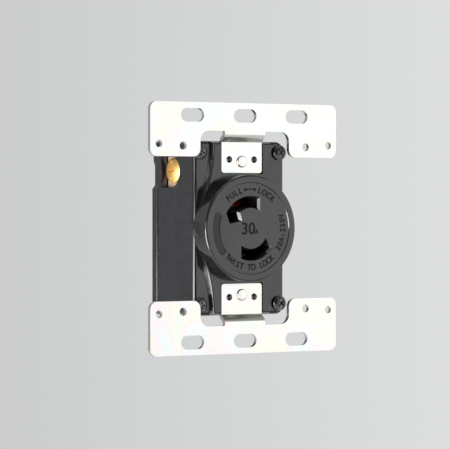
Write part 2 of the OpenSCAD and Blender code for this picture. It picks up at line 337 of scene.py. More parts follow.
def soften(bm: Mesh, width: float, segments: int, chosen: Callable[[Edge], bool] = lambda edge: True) -> Mesh:
    """Rounds the sharp edges that a test picks.

    Args:
        bm: The shape, changed in place.
        width: How far the round starts from the edge.
        segments: Number of strips in the round.
        chosen: Test for the edges to round.

    Returns:
        The same shape.
    """
    edges = [e for e in bm.edges if len(e.link_faces) == 2 and e.calc_face_angle(0) > SHARP and chosen(e)]
    bmesh.ops.bevel(bm, geom=edges, offset=width, offset_type="OFFSET", segments=segments, profile=0.5,
                    affect="EDGES", clamp_overlap=True, material=-1)
    return bm


def at_depth(y: float) -> Callable[[Edge], bool]:
    """Test that picks the edges lying at one depth.

    Args:
        y: The depth.

    Returns:
        The test.
    """

    def test(edge: Edge) -> bool:
        """True for an edge at that depth."""
        return all(abs(v.co.y - y) < NEAR for v in edge.verts)

    return test


def piece(name: str, bm: Mesh, finish: bpy.types.Material, body: str = ROOT,
          replaces: Iterable[str] = ()) -> None:
    """Turns a shape in millimetres into a finished piece of the object.

    Args:
        name: The piece's name.
        bm: Its shape, used up.
        finish: Its material.
        body: The CAD body that it moves with.
        replaces: CAD nodes that it stands for.
    """
    bmesh.ops.scale(bm, verts=bm.verts, vec=(MM, MM, MM))
    bmesh.ops.recalc_face_normals(bm, faces=bm.faces)
    mesh = bpy.data.meshes.new(name)
    bm.to_mesh(mesh)
    bm.free()
    mesh.shade_smooth()
    mesh.set_sharp_from_angle(angle=CREASE)
    mesh.materials.append(finish)
    made = bpy.data.objects.new(name, mesh)
    bpy.context.scene.collection.objects.link(made)
    weigh = made.modifiers.new("flat faces stay flat", "WEIGHTED_NORMAL")
    weigh.mode = "FACE_AREA"
    weigh.keep_sharp = True
    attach(made, body)
    nodes = tuple(replaces)
    if nodes:
        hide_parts(*nodes)
    log.info("%s: %d faces, moves with %s, stands for %s", name, len(mesh.polygons), body,
             ", ".join(nodes) or "nothing")


# ---------------------------------------------------------------------------------------- finishes


def linear(colour: str) -> tuple[float, float, float, float]:
    """Linear colour of an sRGB hex value such as "#26272a"."""
    shares = [int(colour[i:i + 2], 16) / 255 for i in (1, 3, 5)]
    return (*(s / 12.92 if s <= 0.04045 else ((s + 0.055) / 1.055) ** 2.4 for s in shares), 1.0)


def per_metre(size_mm: float) -> float:
    """Noise scale whose features are about this many millimetres across."""
    return 1 / (size_mm * MM)


def add_node(tree: bpy.types.NodeTree, kind: str, settings: Mapping[str, Any] | None = None,
             links: Mapping[str, bpy.types.NodeSocket] | None = None) -> bpy.types.Node:
    """Adds a node to a material or world.

    Args:
        tree: The node tree.
        kind: The node's type.
        settings: Values by input name or by property name.
        links: Sockets to connect, by input name.

    Returns:
        The new node.
    """
    node = tree.nodes.new(kind)
    for key, value in (settings or {}).items():
        if key in node.inputs:
            node.inputs[key].default_value = value
        else:
            setattr(node, key, value)
    for key, source in (links or {}).items():
        tree.links.new(source, node.inputs[key])
    return node


def ramp(tree: bpy.types.NodeTree, source: bpy.types.NodeSocket,
         stops: list[tuple[float, str]]) -> bpy.types.NodeSocket:
    """Colour ramp fed by a value.

    Args:
        tree: The node tree.
        source: The value that picks the colour.
        stops: Places from 0 to 1, each with its hex colour.

    Returns:
        The ramp's colour.
    """
    node = add_node(tree, "ShaderNodeValToRGB", links={"Fac": source})
    while len(node.color_ramp.elements) < len(stops):
        node.color_ramp.elements.new(1.0)
    for element, (place, tone) in zip(node.color_ramp.elements, stops):
        element.position = place
        element.color = linear(tone)
    return node.outputs["Color"]


def start_material(name: str) -> tuple[bpy.types.Material, bpy.types.NodeTree, bpy.types.Node, bpy.types.NodeSocket]:
    """Empty material, ready to link.

    Args:
        name: The material's name.

    Returns:
        The material, its tree, its shader and the object coordinates.
    """
    material = bpy.data.materials.new(name)
    material.use_nodes = True
    tree = material.node_tree
    tree.nodes.clear()
    place = add_node(tree, "ShaderNodeTexCoord").outputs["Object"]
    shader = add_node(tree, "ShaderNodeBsdfPrincipled")
    add_node(tree, "ShaderNodeOutputMaterial", links={"Surface": shader.outputs["BSDF"]})
    return material, tree, shader, place


def lay_surface(tree: bpy.types.NodeTree, shader: bpy.types.Node, tone: bpy.types.NodeSocket,
                shine: tuple[bpy.types.NodeSocket, Point], relief: tuple[bpy.types.NodeSocket, float]) -> None:
    """Gives a shader its colour, uneven gloss and shallow relief.

    Args:
        tree: The node tree.
        shader: The shader.
        tone: Its colour.
        shine: The pattern that the gloss follows, and the roughness at the pattern's two ends.
        relief: The pattern that stands up from the surface, and its height in millimetres.
    """
    pattern, (smooth, rough) = shine
    bumps, height_mm = relief
    gloss = add_node(tree, "ShaderNodeMapRange", {"To Min": smooth, "To Max": rough}, {"Value": pattern})
    bump = add_node(tree, "ShaderNodeBump", {"Distance": height_mm * MM, "Strength": 1.0}, {"Height": bumps})
    tree.links.new(tone, shader.inputs["Base Color"])
    tree.links.new(gloss.outputs["Result"], shader.inputs["Roughness"])
    tree.links.new(bump.outputs["Normal"], shader.inputs["Normal"])


@dataclass(frozen=True)
class MouldedThermoset:
    """Black phenolic moulding from a polished steel mould: dark through and through, with a glossy skin."""

    name: str = "black_moulded_thermoset"
    dark: str = "#101012"
    light: str = "#19191c"
    gloss: Point = (0.09, 0.17)
    ior: float = 1.50
    flow_mm: float = 2.8
    ripple_mm: float = 1.4
    ripple_depth_mm: float = 0.0035

    def make(self) -> bpy.types.Material:
        """Builds the material: faint flow clouds in the colour, uneven gloss and a very shallow ripple.

        Returns:
            The material.
        """
        material, tree, shader, place = start_material(self.name)
        flow = add_node(tree, "ShaderNodeTexNoise", {"Scale": per_metre(self.flow_mm), "Detail": 4.0},
                        {"Vector": place})
        ripple = add_node(tree, "ShaderNodeTexNoise", {"Scale": per_metre(self.ripple_mm), "Detail": 2.0},
                          {"Vector": place})
        tone = ramp(tree, flow.outputs["Fac"], [(0.35, self.dark), (0.7, self.light)])
        lay_surface(tree, shader, tone, (flow.outputs["Fac"], self.gloss),
                    (ripple.outputs["Fac"], self.ripple_depth_mm))
        shader.inputs["IOR"].default_value = self.ior
        return material


# The same moulding where the mould was spark-eroded, not polished: its texture takes the shine off. The real one is
# about 0.03 mm from bump to bump; it is drawn coarser so that it shows.
TEXTURED_MOULDING = MouldedThermoset("black_textured_moulding", gloss=(0.5, 0.65), ripple_mm=0.12,
                                     ripple_depth_mm=0.01)
# And on the letters, whose tops the mould leaves dull. Their colour is also set a little darker than the face's as
# painted shade, so they read darker than the shiny face round them.
DULL_SHADED_MOULDING = MouldedThermoset("black_dull_painted_shade_moulding", "#0a0a0c", "#141416", gloss=(0.6, 0.75), ior=1.3,
                                 ripple_mm=0.12, ripple_depth_mm=0.01)


@dataclass(frozen=True)
class ZincPlate:
    """Rolled steel strip, zinc plated and clear passivated: pale silver with a thin rainbow of green and pink.

    Real rolling marks are about 0.05 mm apart; they are drawn coarser so that they show.
    """

    name: str = "passivated_zinc_plate"
    tints: tuple[str, ...] = ("#bfc8bf", "#c5c6ba", "#c6c0bf", "#c1c4c5", "#bfc7c2")
    tint_span: Point = (0.32, 0.68)
    cloud_mm: float = 13.0
    grain_mm: float = 0.35
    grain_stretch: float = 14.0
    grain_depth_mm: float = 0.002
    gloss: Point = (0.24, 0.33)

    def make(self) -> bpy.types.Material:
        """Builds the material: drifting tint, and rolling grain along X in both gloss and relief.

        Returns:
            The material.
        """
        material, tree, shader, place = start_material(self.name)
        cloud = add_node(tree, "ShaderNodeTexNoise", {"Scale": per_metre(self.cloud_mm), "Detail": 1.5,
                                                      "Distortion": 0.6}, {"Vector": place})
        first, last = self.tint_span
        steps = len(self.tints) - 1
        stops = [(first + (last - first) * i / steps, tint) for i, tint in enumerate(self.tints)]
        tint = ramp(tree, cloud.outputs["Fac"], stops)
        drawn = add_node(tree, "ShaderNodeMapping", {"Scale": (1 / self.grain_stretch, 1.0, 1.0)},
                         {"Vector": place})
        grain = add_node(tree, "ShaderNodeTexNoise", {"Scale": per_metre(self.grain_mm), "Detail": 3.0},
                         {"Vector": drawn.outputs["Vector"]})
        lay_surface(tree, shader, tint, (grain.outputs["Fac"], self.gloss),
                    (grain.outputs["Fac"], self.grain_depth_mm))
        shader.inputs["Metallic"].default_value = 1.0
        return material


@dataclass(frozen=True)
class WorkedMetal:
    """Bare or thinly plated metal with fine tool marks; the grain's stretch says which way it was worked.

    Real tool marks are 0.03 to 0.1 mm apart; they are drawn coarser so that they show.
    """

    name: str
    dark: str
    light: str
    gloss: Point
    grain_mm: float = 0.25
    stretch: tuple[float, float, float] = (1.0, 1.0, 1.0)
    grain_depth_mm: float = 0.003

    def make(self) -> bpy.types.Material:
        """Builds the material: tone, gloss and relief all follow one stretched grain.

        Returns:
            The material.
        """
        material, tree, shader, place = start_material(self.name)
        drawn = add_node(tree, "ShaderNodeMapping", {"Scale": self.stretch}, {"Vector": place})
        grain = add_node(tree, "ShaderNodeTexNoise", {"Scale": per_metre(self.grain_mm), "Detail": 3.0},
                         {"Vector": drawn.outputs["Vector"]})
        tone = ramp(tree, grain.outputs["Fac"], [(0.3, self.dark), (0.7, self.light)])
        lay_surface(tree, shader, tone, (grain.outputs["Fac"], self.gloss),
                    (grain.outputs["Fac"], self.grain_depth_mm))
        shader.inputs["Metallic"].default_value = 1.0
        return material


# Cold-headed steel with bright zinc: smooth, with slight die marks.
BRIGHT_STEEL = WorkedMetal("bright_zinc_headed_steel", "#cfcfca", "#e6e6e2", (0.24, 0.34))
# Black zinc on a cold-headed screw: dark, oily grey with a soft shine.
BLACK_ZINC = WorkedMetal("black_zinc_screw", "#525254", "#636365", (0.2, 0.3))
# Free-cutting brass, turned: warm yellow with fine rings round the screw's axis, which is X.
TURNED_BRASS = WorkedMetal("turned_brass", "#c89d56", "#ddbc7c", (0.42, 0.52), 0.18, (0.4, 1.0, 1.0))
# Rolled brass strip that has dulled towards copper pink.
BRASS_STRIP = WorkedMetal("rolled_brass_strip", "#d9b79c", "#ecd3bb", (0.5, 0.6), 0.3, (1.0, 1.0, 0.2))
# Copper alloy strip, rolled, with a little heat colour.
COPPER_STRIP = WorkedMetal("rolled_copper_strip", "#b4582f", "#d07a4a", (0.22, 0.34), 0.3, (0.3, 1.0, 1.0))
# Spring steel strip with a blue-grey temper.
SPRING_STEEL = WorkedMetal("tempered_spring_steel", "#6f7376", "#8a8d8f", (0.25, 0.35), 0.2, (0.3, 1.0, 1.0))


@dataclass(frozen=True)
class Finishes:
    """The materials of the object, made once and shared by its pieces."""

    moulding: bpy.types.Material
    textured: bpy.types.Material
    dull: bpy.types.Material
    zinc: bpy.types.Material
    steel: bpy.types.Material
    black_screw: bpy.types.Material
    brass: bpy.types.Material
    brass_strip: bpy.types.Material
    copper: bpy.types.Material
    spring: bpy.types.Material

    @classmethod
    def make(cls) -> Finishes:
        """Makes every finish.

        Returns:
            All the materials.
        """
        return cls(moulding=MouldedThermoset().make(), textured=TEXTURED_MOULDING.make(), dull=DULL_SHADED_MOULDING.make(),
                   zinc=ZincPlate().make(), steel=BRIGHT_STEEL.make(), black_screw=BLACK_ZINC.make(),
                   brass=TURNED_BRASS.make(), brass_strip=BRASS_STRIP.make(), copper=COPPER_STRIP.make(),
                   spring=SPRING_STEEL.make())


# ---------------------------------------------------------------------------------------- yokes


@dataclass
class Yoke:
    """One stamped steel yoke with its joggled tongue, and the rivet that holds the body to it."""

    level: Level
    half_width: float = 41.1
    top: float = 46.5
    foot: float = 26.5
    notch_x: float = 19.6
    notch_z: float = 36.0
    tongue_x: float = 8.9
    tongue_end: float = 20.6
    thickness: float = 1.6
    step: float = 2.4
    bend_top: float = 35.0
    bend_low: float = 32.0
    slot_z: float = 41.75
    slot_spacing: float = 23.0
    slot_half: Point = (5.0, 2.5)
    outer_hole: Corner = (37.4, 31.1, 1.4)
    inner_hole: Corner = (27.1, 30.4, 1.5)
    pip_hole: Corner = (5.5, 25.6, 1.25)
    outer_round: float = 2.75
    foot_round: float = 3.0
    notch_round: float = 3.5
    bend_round: float = 0.35
    tongue_round: float = 1.0
    rivet_z: float = 24.8
    rivet_hole: float = 1.25
    rivet_head: float = 2.2
    rivet_shank: float = 1.2
    clinch: float = 1.7
    clinch_y: float = 8.8
    edge_round: float = 0.18
    bend_cuts: int = 14

    @property
    def word(self) -> str:
        """Upper or lower."""
        return self.level.name.lower()

    def blank(self) -> list[Point]:
        """Outline of the flat stamping, clockwise from its upper left corner.

        Returns:
            The outline's points.
        """
        right = [(self.half_width, self.top, self.outer_round), (self.half_width, self.foot, self.outer_round),
                 (self.notch_x, self.foot, self.foot_round), (self.notch_x, self.notch_z, self.notch_round),
                 (self.tongue_x, self.notch_z, self.bend_round), (self.tongue_x, self.tongue_end, self.tongue_round)]
        left = [(-x, z, r) for x, z, r in reversed(right)]
        return rounded(right + left)

    def holes(self) -> Mesh:
        """Everything that is punched out of the blank.

        Returns:
            All the punches in one mesh.
        """
        front, back = -self.thickness - 1, 1.0
        wide, tall = self.slot_half
        cuts = []
        for column in (-1, 0, 1):
            x = column * self.slot_spacing
            ends = [(x - wide, self.slot_z - tall), (x + wide, self.slot_z - tall),
                    (x + wide, self.slot_z + tall), (x - wide, self.slot_z + tall)]
            cuts.append(prism(rounded([(px, pz, tall - 0.001) for px, pz in ends], 12.0), front, back))
        for x, z, radius in (self.outer_hole, self.inner_hole, self.pip_hole):
            cuts += [moved(bar(radius, front, back, 32), x=side * x, z=z) for side in (-1, 1)]
        cuts.append(moved(bar(self.rivet_hole, front, back, 32), z=self.rivet_z))
        return gathered(cuts)

    def bend(self, bm: Mesh) -> Mesh:
        """Sets the tongue back through a smooth S bend.

        Args:
            bm: The flat yoke, changed in place.

        Returns:
            The same shape.
        """
        for i in range(self.bend_cuts + 1):
            height = self.bend_low + (self.bend_top - self.bend_low) * i / self.bend_cuts
            bmesh.ops.bisect_plane(bm, geom=[*bm.verts, *bm.edges, *bm.faces], plane_co=(0, 0, height),
                                   plane_no=(0, 0, 1), dist=WELD)
        middle = -self.thickness / 2
        span = self.bend_top - self.bend_low
        for vert in bm.verts:
            if abs(vert.co.x) > self.tongue_x + 1 or vert.co.z > self.bend_top:
                continue
            share = min(1.0, (self.bend_top - vert.co.z) / span)
            slope = math.atan(self.step / span * 6 * share * (1 - share))
            off = vert.co.y - middle
            vert.co.z += off * math.sin(slope)
            vert.co.y = middle + self.step * share * share * (3 - 2 * share) + off * math.cos(slope)
        return bm

    def rivet(self) -> Mesh:
        """Low domed rivet with its shank and clinched end.

        Returns:
            The rivet.
        """
        front, edge = self.step - self.thickness, 0.45
        crown = [(0, front - 0.62), (0.9, front - 0.6), (1.5, front - 0.55)]
        shoulder = arc((self.rivet_head - edge, front - 0.1), edge, -75, 0, 5)
        shank = [(self.rivet_shank, front), (self.rivet_shank, self.clinch_y)]
        clinched = [(self.clinch, self.clinch_y), (self.clinch, self.clinch_y + 0.6),
                    (self.clinch - 0.5, self.clinch_y + 0.9), (0, self.clinch_y + 0.9)]
        return moved(turned([*crown, *shoulder, *shank, *clinched], 48), z=self.rivet_z)

    def build(self, finishes: Finishes) -> None:
        """Makes the yoke and its rivet.

        Args:
            finishes: The object's materials.
        """
        sheet = combined(prism(self.blank(), -self.thickness, 0), self.holes(), Join.CUT)
        soften(sheet, self.edge_round, 2)
        piece(f"{self.word}_yoke_plate", spun(self.bend(sheet), self.level.value), finishes.zinc,
              replaces=[f"{self.word}_yoke"])
        piece(f"{self.word}_yoke_rivet_headed", spun(self.rivet(), self.level.value), finishes.zinc,
              replaces=[f"{self.word}_yoke_rivet"])


# ---------------------------------------------------------------------------------------- body


@dataclass
class BladeSlots:
    """The two curved blade slots; the upper one has an inward notch for the hooked blade."""

    inner: float = 7.7
    outer: float = 11.9
    end_x: float = 4.0
    hook_outer: float = 152.0
    hook_inner: float = 130.0
    hook_tip: Point = (-9.1, 1.8)
    hook_heel: Point = (-4.2, 3.0)
    entry_outer: float = 322.0
    entry_inner: float = 336.0
    lip: float = 0.19
    ramp: float = 0.35
    throat_shrinks: float = 0.45
    slope_depth: float = 0.95
    chord: float = 4.0

    def angle(self, radius: float, x: float) -> float:
        """Angle in degrees at which a circle of this radius reaches x, on the upper half."""
        return math.degrees(math.acos(x / radius))

    def band(self, radius: float, start: float, end: float) -> list[Point]:
        """Arc about the face's axis with evenly spaced points."""
        return arc((0, 0), radius, start, end, max(2, round(abs(end - start) / self.chord)))

    def upper(self) -> list[Point]:
        """Outline of the upper slot.

        Returns:
            The outline's points.
        """
        outer = self.band(self.outer, self.angle(self.outer, self.end_x), self.hook_outer)
        inner = self.band(self.inner, self.hook_inner, self.angle(self.inner, self.end_x))
        return [*outer, self.hook_tip, self.hook_heel, *inner]

    def lower(self) -> list[Point]:
        """Outline of the lower slot, upright at its locked end and slanted at its entry end.

        Returns:
            The outline's points.
        """
        outer = self.band(self.outer, 360 - self.angle(self.outer, -self.end_x), self.entry_outer)
        inner = self.band(self.inner, self.entry_inner, 360 - self.angle(self.inner, -self.end_x))
        return [*outer, *inner]

    def cutters(self, front: float, mouth: float, back: float) -> Mesh:
        """Both slots as solids whose walls slope in below a rounded mouth.

        Args:
            front: Depth where the solids start, in front of the face.
            mouth: Depth of the face's surface.
            back: Depth where the solids end.

        Returns:
            Both solids in one mesh.
        """
        solids = []
        for outline in (self.upper(), self.lower()):
            steps = [(front, self.lip), (mouth, self.lip), (mouth + 0.03, self.lip - 0.09),
                     (mouth + 0.12, self.lip - 0.14)]
            sections = [(y, grown(outline, by, self.ramp)) for y, by in steps]
            narrow = grown(outline, -self.throat_shrinks)
            solids.append(lofted([*sections, (mouth + self.slope_depth, narrow), (back, narrow)]))
        return gathered(solids)


@dataclass
class Body:
    """The black front moulding: block, waisted pad, round boss and face, with everything cut into it."""

    slots: BladeSlots
    half_width: float = 20.0
    half_height: float = 32.4
    corner: float = 3.0
    front: float = 2.4
    seam: float = 28.0
    boss: float = 19.88
    rim: float = -5.6
    rim_round: float = 0.85
    edge_round: float = 1.5
    blank_band: Point = (13.6, 16.1)
    blank_sweep: Point = (163.0, 214.0)
    blank_sink: float = 0.25
    blank_slope: float = 0.3
    disc: float = 16.9
    disc_y: float = -5.2
    face_back: float = -3.2
    pad_y: float = 0.5
    pad_half: float = 12.6
    pad_side: float = 49.0
    pad_slope: float = 0.65
    pad_merge: float = 10.8
    pad_merge_over: float = 6.0
    pad_end: float = 31.0
    pad_top: float = 31.6
    bed: Point = (9.2, 20.3)
    pocket: Point = (18.9, 21.5)
    pocket_round: float = 6.3
    pocket_top: float = 26.6
    pocket_back: float = 25.6
    pocket_floor: float = 17.1
    pocket_zone: Point = (10.0, 27.0)
    case_screw: Point = (17.5, 28.3)
    chamber: float = 16.5
    chamber_back: float = 11.6
    rear_space: Point = (15.9, 24.4)
    screw_hole: float = 1.3
    rivet_z: float = 24.8
    rivet_hole: float = 1.25
    well_z: float = 26.0
    well: float = 3.0
    well_floor: float = 8.0
    pip_place: Point = (5.5, 25.6)
    pip: float = 1.1

    def pad(self) -> list[Point]:
        """Outline of the waisted pad; its straight middle is inside the boss.

        Returns:
            The outline's points.
        """
        centre = (self.pad_half + self.pad_side, self.pad_end)
        inside = self.boss - 3
        sweep = math.degrees(math.acos((centre[0] - inside) / self.pad_side))
        quarter = [(self.pad_half, self.pad_top), *arc(centre, self.pad_side, 180.5, 180 + sweep, 20)]
        side = quarter + [(x, -z) for x, z in reversed(quarter)]
        return side + [(-x, -z) for x, z in side]

    def merged(self, outline: list[Point], pushed: list[Point]) -> list[Point]:
        """The pushed outline, led back to the plain one where the flanks run into the boss.

        Args:
            outline: The plain outline.
            pushed: The pushed one, point for point.

        Returns:
            The outline between the two.
        """
        points = []
        for (x, z), (far_x, far_z) in zip(outline, pushed):
            share = min(1.0, max(0.0, (abs(z) - self.pad_merge) / self.pad_merge_over))
            points.append((x + (far_x - x) * share, z + (far_z - z) * share))
        return points

    def blank_field(self) -> list[Point]:
        """Outline of the plain curved field beside the left rim, with round ends.

        Returns:
            The outline's points.
        """
        (inner, outer), (start, end) = self.blank_band, self.blank_sweep
        middle, half = (inner + outer) / 2, (outer - inner) / 2
        points = arc((0, 0), outer, start, end, 14)
        for angle, first in ((end, end), (start, start + 180)):
            radians = math.radians(angle)
            centre = (middle * math.cos(radians), middle * math.sin(radians))
            points += arc(centre, half, first, first + 180, 6)[1:-1]
            if angle == end:
                points += arc((0, 0), inner, end, start, 12)
        return points

    def block(self) -> Mesh:
        """The block with softly rounded front edges.

        Returns:
            The block.
        """
        w, h, r = self.half_width, self.half_height, self.corner
        bm = prism(rounded([(w, h, r), (w, -h, r), (-w, -h, r), (-w, h, r)]), self.front, self.seam)
        soften(bm, self.edge_round, 5, at_depth(self.front))
        return soften(bm, 0.12, 1, at_depth(self.seam))

    def raised_pad(self) -> Mesh:
        """The waisted pad with the sunk beds for the tongues.

        Returns:
            The pad.
        """
        outline = self.pad()
        height = self.front - self.pad_y
        edge = [(0.0, -0.6), (0.06, -0.36), (0.18, -0.16), (0.38, -0.02), (0.62, 0.08)]
        steps = [*edge, (height, self.pad_slope), (height + 1, self.pad_slope)]
        pad = lofted([(self.pad_y + down, self.merged(outline, grown(outline, by))) for down, by in steps])
        half, start = self.bed
        beds = gathered([box_of((-half, self.pad_y - 1, low), (half, self.front + 2, high))
                         for low, high in ((start, 40), (-40, -start))])
        return combined(pad, beds, Join.CUT)

    def round_boss(self) -> Mesh:
        """The round boss with its rim, and the disc of the face sunk a little inside it.

        Returns:
            The boss.
        """
        rim = [(self.boss - self.rim_round * (1 - math.sin(math.radians(a))),
                self.rim + self.rim_round * (1 - math.cos(math.radians(a)))) for a in range(0, 91, 18)]
        step = [(self.disc, self.disc_y), (self.disc + 0.08, self.disc_y - 0.12), (self.disc + 0.2, self.rim + 0.06),
                (self.disc + 0.4, self.rim)]
        return turned([(0, self.disc_y), *step, *rim, (self.boss, self.front + 1), (0, self.front + 1)], 144)

    def pocket_cutter(self) -> Mesh:
        """Side pocket of the left terminal: a round end towards the front and a square one towards the back.

        Returns:
            The solid to cut away.
        """
        y, z = self.pocket
        r = self.pocket_round
        top = math.degrees(math.asin((self.pocket_top - z) / r))
        front = arc((y, z), r, 360 - 90, 180 - top, 20)
        outline = [*front, (self.pocket_back, self.pocket_top), (self.pocket_back, z - r)]
        return spun(prism(outline, self.pocket_floor, self.half_width + 2), math.pi / 2, "Z")

    def hollow(self) -> Mesh:
        """The round chamber and the square rear space.

        Returns:
            The solid to cut away.
        """
        x, z = self.rear_space
        chamber = bar(self.chamber, self.face_back, self.chamber_back + 0.2, 96)
        space = box_of((-x, self.chamber_back, -z), (x, self.seam + 1, z))
        return combined(chamber, space, Join.ADD)

    def screw_holes(self) -> Mesh:
        """Clearance holes for the case screws and the yoke rivets, and the wells for the rivets' clinched ends.

        Returns:
            The solids to cut away, in one mesh.
        """
        x, z = self.case_screw
        front, back = self.front - 2, self.seam + 1
        holes = [moved(bar(self.screw_hole, front, back, 24), sx * x, 0, sz * z) for sx in (-1, 1) for sz in (-1, 1)]
        holes += [moved(bar(self.rivet_hole, front, self.well_floor + 0.2, 24), 0, 0, s * self.rivet_z)
                  for s in (-1, 1)]
        holes += [moved(bar(self.well, self.well_floor, back, 24), 0, 0, s * self.well_z) for s in (-1, 1)]
        return gathered(holes)

    def at_pocket_mouth(self, edge: Edge) -> bool:
        """True for an edge of a terminal pocket on the block's side walls."""
        first, last = self.pocket_zone
        return all(abs(abs(v.co.x) - self.half_width) < NEAR and first < v.co.y < last for v in edge.verts)

    def pips(self, level: Level) -> Mesh:
        """Two domed pips that stand in the holes of one yoke's tongue.

        Args:
            level: Which yoke.

        Returns:
            Both pips in one mesh.
        """
        x, z = self.pip_place
        dome = [(0, 0.3), (0.5, 0.36), (0.9, 0.6), (self.pip, 1.0), (self.pip, 2.5), (0, 2.5)]
        return spun(gathered([moved(turned(dome, 32), s * x, 0, z) for s in (-1, 1)]), level.value)

    def build(self, finishes: Finishes) -> None:
        """Makes the body and its locating pips.

        Args:
            finishes: The object's materials.
        """
        bm = combined(self.block(), self.raised_pad(), Join.ADD)
        bm = combined(bm, self.round_boss(), Join.ADD)
        bm = combined(bm, self.slots.cutters(self.rim - 1, self.disc_y, self.face_back + 1), Join.CUT)
        field, sink = self.blank_field(), self.disc_y + self.blank_sink
        wide = grown(field, self.blank_slope)
        sunk = lofted([(self.rim - 1, wide), (self.disc_y, wide), (sink, field), (sink + 0.1, field)])
        bm = combined(bm, sunk, Join.CUT)
        for turn in (0.0, math.pi):
            bm = combined(bm, spun(self.pocket_cutter(), turn), Join.CUT)
        soften(bm, 0.25, 2, self.at_pocket_mouth)
        bm = combined(bm, self.hollow(), Join.CUT)
        bm = combined(bm, self.screw_holes(), Join.CUT)
        piece("body_moulding", bm, finishes.moulding, replaces=["body"])
        piece("blank_field_floor", prism(field, sink - 0.01, sink + 0.15), finishes.textured)
        for level in Level:
            piece(f"{level.name.lower()}_locating_pips", self.pips(level), finishes.moulding)


@dataclass
class Legend:
    """Raised lettering on the face: what the plug does, and the rating."""

    ring: float = 14.5
    surface: float = -5.2
    height: float = 2.3
    cap_share: float = 0.72
    narrow: float = 0.85
    relief: float = 0.06
    round: float = 0.1
    arrow_middle: float = 91.0
    arrow_half: float = 11.5
    arrow_head: float = 4.6
    arrow_thin: float = 0.2
    arrow_wide: float = 0.8

    def glyphs(self, words: str, height: float, narrow: float) -> Mesh:
        """Raised text centred on the face's axis, upright, facing the front.

        Args:
            words: The text.
            height: Height of a capital.
            narrow: Share of the letters' own width that they keep.

        Returns:
            The letters' shape.
        """
        curve = bpy.data.curves.new("letters", "FONT")
        curve.body = words
        curve.size = height / self.cap_share
        curve.align_x = "CENTER"
        curve.align_y = "CENTER"
        curve.extrude = self.relief
        curve.bevel_depth = self.round
        curve.bevel_resolution = 1
        curve.resolution_u = 3
        holder = bpy.data.objects.new("letters", curve)
        bpy.context.scene.collection.objects.link(holder)
        shown = holder.evaluated_get(bpy.context.evaluated_depsgraph_get())
        bm = bmesh.new()
        bm.from_mesh(shown.to_mesh())
        shown.to_mesh_clear()
        bpy.data.objects.remove(holder)
        bpy.data.curves.remove(curve)
        bmesh.ops.remove_doubles(bm, verts=bm.verts, dist=1e-5)
        bmesh.ops.scale(bm, verts=bm.verts, vec=(narrow, 1, 1))
        spun(bm, math.pi / 2, "X")
        return moved(bm, y=self.surface)

    def round_the_ring(self, words: str, middle: float, advance: float, heads_in: bool = False) -> list[Mesh]:
        """Letters set one by one round the ring.

        Args:
            words: The text.
            middle: Angle of its middle in degrees.
            advance: Degrees from letter to letter.
            heads_in: True where the letters' tops point to the centre, as on the lower half.

        Returns:
            One shape for each letter.
        """
        letters = []
        sense = 1 if heads_in else -1
        for i, letter in enumerate(words):
            if letter == " ":
                continue
            angle = middle + sense * advance * (i - (len(words) - 1) / 2)
            lean = angle + 90 if heads_in else angle - 90
            bm = spun(self.glyphs(letter, self.height, self.narrow), -math.radians(lean))
            radians = math.radians(angle)
            letters.append(moved(bm, self.ring * math.cos(radians), 0, self.ring * math.sin(radians)))
        return letters

    def arrow(self) -> Mesh:
        """Double-headed arrow bent along the ring.

        Returns:
            The arrow's shape.
        """
        first, last = self.arrow_middle - self.arrow_half, self.arrow_middle + self.arrow_half
        right_neck, left_neck = first + self.arrow_head, last - self.arrow_head
        far, near = self.ring + self.arrow_wide, self.ring - self.arrow_wide
        outline = [*self.band(self.ring + self.arrow_thin, right_neck, left_neck),
                   self.at(far, left_neck), self.at(self.ring, last), self.at(near, left_neck),
                   *self.band(self.ring - self.arrow_thin, left_neck, right_neck),
                   self.at(near, right_neck), self.at(self.ring, first), self.at(far, right_neck)]
        front = self.surface - self.relief - self.round
        return soften(prism(outline, front, self.surface + 0.1), self.relief, 2, at_depth(front))

    def at(self, radius: float, angle: float) -> Point:
        """Point on the face at this radius and angle in degrees."""
        return (radius * math.cos(math.radians(angle)), radius * math.sin(math.radians(angle)))

    def band(self, radius: float, start: float, end: float) -> list[Point]:
        """Points along the ring."""
        return arc((0, 0), radius, start, end, 10)

    def build(self, finishes: Finishes) -> None:
        """Makes the lettering.

        Args:
            finishes: The object's materials.
        """
        ring = [*self.round_the_ring("PULL", 120, 7.8), self.arrow(), *self.round_the_ring("LOCK", 61, 8.5),
                *self.round_the_ring("30A-250V", -6.5, 7.1, heads_in=True),
                *self.round_the_ring("TWIST TO LOCK", 268, 7.0, heads_in=True)]
        piece("ring_legend", gathered(ring), finishes.dull)
        rating = [moved(self.glyphs("30", 4.5, 1.0), x=-0.95, z=-0.3),
                  moved(self.glyphs("A", 1.6, 0.9), x=2.75, z=-1.3)]
        piece("centre_rating", gathered(rating), finishes.dull)


# ---------------------------------------------------------------------------------------- rear cover and fasteners


